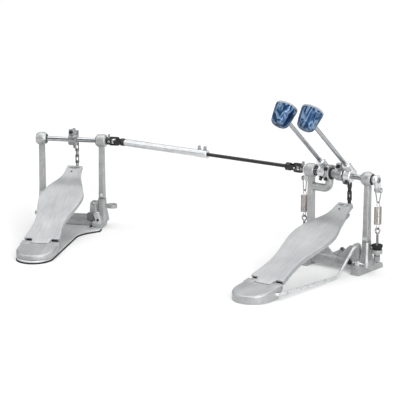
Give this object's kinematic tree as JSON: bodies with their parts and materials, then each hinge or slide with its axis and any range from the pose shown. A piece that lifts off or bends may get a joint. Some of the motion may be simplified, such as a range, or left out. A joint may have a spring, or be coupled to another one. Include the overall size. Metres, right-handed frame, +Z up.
{
  "type": "bass drum pedal",
  "caption": "Linked bass drum pedals: chain-drive footboards on bearing frames, a telescoping universal-joint shaft, sprung axles and swinging beaters that strike the drum.",
  "frame": {"origin": "bottom centre of the bounding box, on the floor", "axes": "+X along the primary pedal's axle to the player's right, +Y towards the drum, +Z up"},
  "size_m": [0.7982, 0.405, 0.3392],
  "materials": {
    "satin_casting": "satin",
    "brushed_pressing": "brushed",
    "chrome": "polished",
    "plated_steel": "plated",
    "spring_steel": "drawn",
    "dark_chain": "oiled",
    "black_oxide": "black",
    "rubber": "matte",
    "pearl_blue": "pearl marbled",
    "white_felt": "felt"
  },
  "bodies": {
    "primary_frame": {"primary_base": "satin_casting", "primary_left_post": "satin_casting", "primary_right_post": "satin_casting", "primary_left_bearing": "black_oxide", "primary_right_bearing": "black_oxide", "centre_bearing": "black_oxide", "centre_bearing_arm": "satin_casting", "primary_heel_plate": "brushed_pressing", "primary_heel_pin": "plated_steel", "stabiliser_rod": "plated_steel", "hoop_clamp_pin": "plated_steel", "left_eye_bolt": "plated_steel", "right_eye_bolt": "plated_steel", "left_grommet": "rubber", "right_grommet": "rubber", "left_tension_nut": "plated_steel", "right_tension_nut": "plated_steel"},
    "primary_board": {"primary_footboard": "brushed_pressing", "primary_toe_clip": "brushed_pressing"},
    "main_axle": {"main_axle": "chrome", "primary_cam": "chrome", "right_beater_holder": "chrome", "right_rocker": "chrome"},
    "primary_chain": {"primary_chain": "dark_chain"},
    "right_stirrup": {"right_stirrup": "plated_steel"},
    "right_spring": {"right_spring": "spring_steel"},
    "right_beater": {"right_beater_rod": "chrome", "right_beater_head": "pearl_blue", "right_beater_face": "white_felt"},
    "secondary_axle": {"secondary_axle": "chrome", "left_beater_holder": "chrome", "left_rocker": "chrome", "primary_axle_yoke": "black_oxide"},
    "left_stirrup": {"left_stirrup": "plated_steel"},
    "left_spring": {"left_spring": "spring_steel"},
    "left_beater": {"left_beater_rod": "chrome", "left_beater_head": "pearl_blue", "left_beater_face": "white_felt"},
    "drive_rod": {"drive_rod": "black_oxide", "primary_cross": "plated_steel"},
    "hoop_clamp_jaw": {"hoop_clamp_jaw": "satin_casting"},
    "hoop_clamp_screw": {"hoop_clamp_screw": "plated_steel"},
    "slave_frame": {"slave_base": "satin_casting", "slave_left_post": "satin_casting", "slave_right_post": "satin_casting", "slave_left_bearing": "black_oxide", "slave_right_bearing": "black_oxide", "slave_heel_plate": "brushed_pressing", "slave_heel_pin": "plated_steel", "slave_base_plate": "brushed_pressing", "slave_rubber_mat": "rubber"},
    "slave_board": {"slave_footboard": "brushed_pressing", "slave_toe_clip": "brushed_pressing"},
    "slave_axle": {"slave_axle": "chrome", "slave_cam": "chrome", "slave_axle_yoke": "black_oxide"},
    "slave_chain": {"slave_chain": "dark_chain"},
    "slave_cross": {"slave_cross": "plated_steel"},
    "drive_tube": {"drive_tube": "chrome", "drive_tube_yoke": "black_oxide"}
  },
  "joints": [
    {"name": "main_axle_turn", "type": "hinge", "parent": "primary_frame", "child": "main_axle", "pos_m": [0.3083, 0.1499, 0.182], "axis": [1, 0, 0], "range_deg": [-50, 0], "stiffness_Nm_per_rad": 0.2, "springref_deg": 114.59},
    {"name": "primary_board_hinge", "type": "hinge", "parent": "primary_frame", "child": "primary_board", "pos_m": [0.3083, -0.09155, 0.019], "axis": [1, 0, 0], "range_deg": [-5.55, 0]},
    {"name": "primary_chain_hinge", "type": "hinge", "parent": "main_axle", "child": "primary_chain", "pos_m": [0.3083, 0.1814, 0.19199], "axis": [1, 0, 0], "range_deg": [0, 58.83]},
    {"name": "right_stirrup_hinge", "type": "hinge", "parent": "main_axle", "child": "right_stirrup", "pos_m": [0.3921, 0.1559, 0.162], "axis": [1, 0, 0], "range_deg": [0, 62.87]},
    {"name": "right_spring_stretch", "type": "slide", "parent": "right_stirrup", "child": "right_spring", "axis": [0, 0, -1], "range_m": [0, 0.00453], "deforming": ["right_spring"]},
    {"name": "right_beater_height", "type": "slide", "parent": "main_axle", "child": "right_beater", "axis": [0, -0.7638, 0.6455], "range_m": [-0.03, 0.012]},
    {"name": "secondary_axle_turn", "type": "hinge", "parent": "primary_frame", "child": "secondary_axle", "pos_m": [0.3083, 0.1499, 0.182], "axis": [1, 0, 0], "range_deg": [-47.43, 0], "stiffness_Nm_per_rad": 0.2, "springref_deg": 114.59},
    {"name": "left_stirrup_hinge", "type": "hinge", "parent": "secondary_axle", "child": "left_stirrup", "pos_m": [0.2245, 0.1559, 0.162], "axis": [1, 0, 0], "range_deg": [0, 59.82]},
    {"name": "left_spring_stretch", "type": "slide", "parent": "left_stirrup", "child": "left_spring", "axis": [0, 0, -1], "range_m": [0, 0.00388], "deforming": ["left_spring"]},
    {"name": "left_beater_height", "type": "slide", "parent": "secondary_axle", "child": "left_beater", "axis": [0, -0.7638, 0.6455], "range_m": [-0.03, 0.012]},
    {"name": "drive_rod_spin", "type": "hinge", "parent": "primary_frame", "child": "drive_rod", "pos_m": [0.2075, 0.1499, 0.182], "axis": [0.9991, 0.0419, 0], "range_deg": [-47.44, 0]},
    {"name": "hoop_jaw_hinge", "type": "hinge", "parent": "primary_frame", "child": "hoop_clamp_jaw", "pos_m": [0.3083, 0.1609, 0.0165], "axis": [1, 0, 0], "range_deg": [-6, 0]},
    {"name": "hoop_screw_turn", "type": "hinge", "parent": "primary_frame", "child": "hoop_clamp_screw", "pos_m": [0.3083, 0.1749, 0.0165], "axis": [0, 0, 1], "continuous": true},
    {"name": "shaft_length", "type": "slide", "parent": "primary_frame", "child": "slave_frame", "axis": [-0.9991, -0.0419, 0], "range_m": [-0.06, 0.07]},
    {"name": "slave_board_hinge", "type": "hinge", "parent": "slave_frame", "child": "slave_board", "pos_m": [-0.20864, -0.1278, 0.019], "axis": [0.8957, 0.4446, 0], "range_deg": [-5.55, 0]},
    {"name": "slave_axle_turn", "type": "hinge", "parent": "slave_frame", "child": "slave_axle", "pos_m": [-0.316, 0.08847, 0.182], "axis": [0.8957, 0.4446, 0], "range_deg": [-50.01, 0]},
    {"name": "slave_chain_hinge", "type": "hinge", "parent": "slave_axle", "child": "slave_chain", "pos_m": [-0.33001, 0.11669, 0.19199], "axis": [0.8957, 0.4446, 0], "range_deg": [0, 58.83]},
    {"name": "slave_cross_turn", "type": "hinge", "parent": "slave_axle", "child": "slave_cross", "pos_m": [-0.22912, 0.1316, 0.182], "axis": [0, 0, 1], "range_deg": [0, 8.04]},
    {"name": "drive_tube_spin", "type": "hinge", "parent": "slave_frame", "child": "drive_tube", "pos_m": [-0.22912, 0.1316, 0.182], "axis": [0.9991, 0.0419, 0], "range_deg": [-47.44, 0]}
  ],
  "couplings": [
    {"joint": "primary_board_hinge", "follows": "main_axle_turn", "ratio": 0.1108},
    {"joint": "primary_chain_hinge", "follows": "main_axle_turn", "ratio": -1.1761},
    {"joint": "right_stirrup_hinge", "follows": "main_axle_turn", "ratio": -1.257},
    {"joint": "right_spring_stretch", "follows": "main_axle_turn", "m_per_rad": -0.005174},
    {"joint": "slave_axle_turn", "follows": "secondary_axle_turn", "ratio": 1.0541},
    {"joint": "slave_board_hinge", "follows": "secondary_axle_turn", "ratio": 0.11679},
    {"joint": "slave_chain_hinge", "follows": "secondary_axle_turn", "ratio": -1.2398},
    {"joint": "slave_cross_turn", "follows": "secondary_axle_turn", "ratio": -0.16928},
    {"joint": "drive_tube_spin", "follows": "secondary_axle_turn", "ratio": 1},
    {"joint": "drive_rod_spin", "follows": "secondary_axle_turn", "ratio": 1},
    {"joint": "left_stirrup_hinge", "follows": "secondary_axle_turn", "ratio": -1.2607},
    {"joint": "left_spring_stretch", "follows": "secondary_axle_turn", "m_per_rad": -0.00466}
  ]
}
